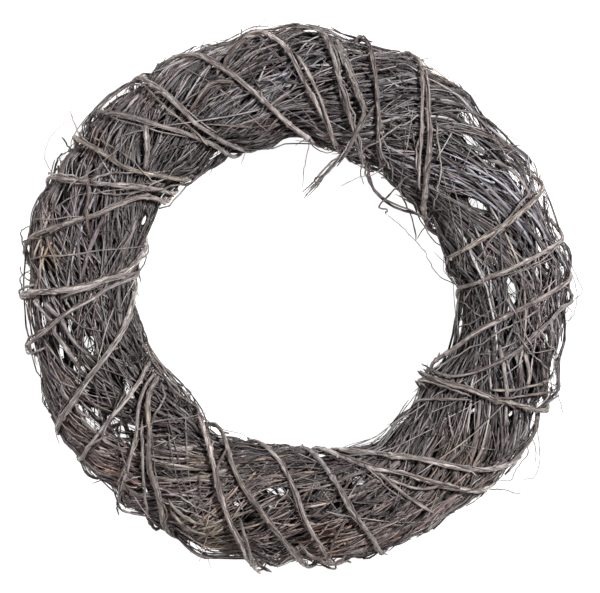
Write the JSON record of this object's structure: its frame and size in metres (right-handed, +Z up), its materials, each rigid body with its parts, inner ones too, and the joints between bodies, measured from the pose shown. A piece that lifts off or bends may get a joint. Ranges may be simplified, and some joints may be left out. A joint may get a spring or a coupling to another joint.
{
  "type": "wicker wreath",
  "caption": "Round wreath of bare weathered twigs laid in overlapping bunches, wound with pale vine canes, with a snapped cane end reaching into its open middle; lies flat.",
  "frame": {"origin": "middle of the wreath's outline, on the surface that it lies on", "axes": "+Z up through the hole, out of the wreath's front; +X and +Y to the right and the top of the wreath as it is seen from the front, +X along its slightly longer side"},
  "size_m": [0.3977, 0.3901, 0.0738],
  "materials": {
    "twigs": "matte",
    "canes": "matte",
    "rough_cane": "matte"
  },
  "bodies": {
    "root": {"twig_bunch_01": "twigs", "twig_bunch_02": "twigs", "twig_bunch_03": "twigs", "twig_bunch_04": "twigs", "twig_bunch_05": "twigs", "twig_bunch_06": "twigs", "twig_bunch_07": "twigs", "twig_bunch_08": "twigs", "twig_bunch_09": "twigs", "twig_bunch_10": "twigs", "twig_bunch_11": "twigs", "twig_bunch_12": "twigs", "binding_cane_01": "canes", "binding_cane_02": "canes", "binding_cane_03": "canes", "binding_cane_04": "canes", "binding_cane_05": "canes", "binding_cane_06": "canes", "binding_cane_07": "canes", "binding_cane_08": "canes", "binding_cane_09": "canes", "broken_cane": "rough_cane"}
  },
  "joints": []
}
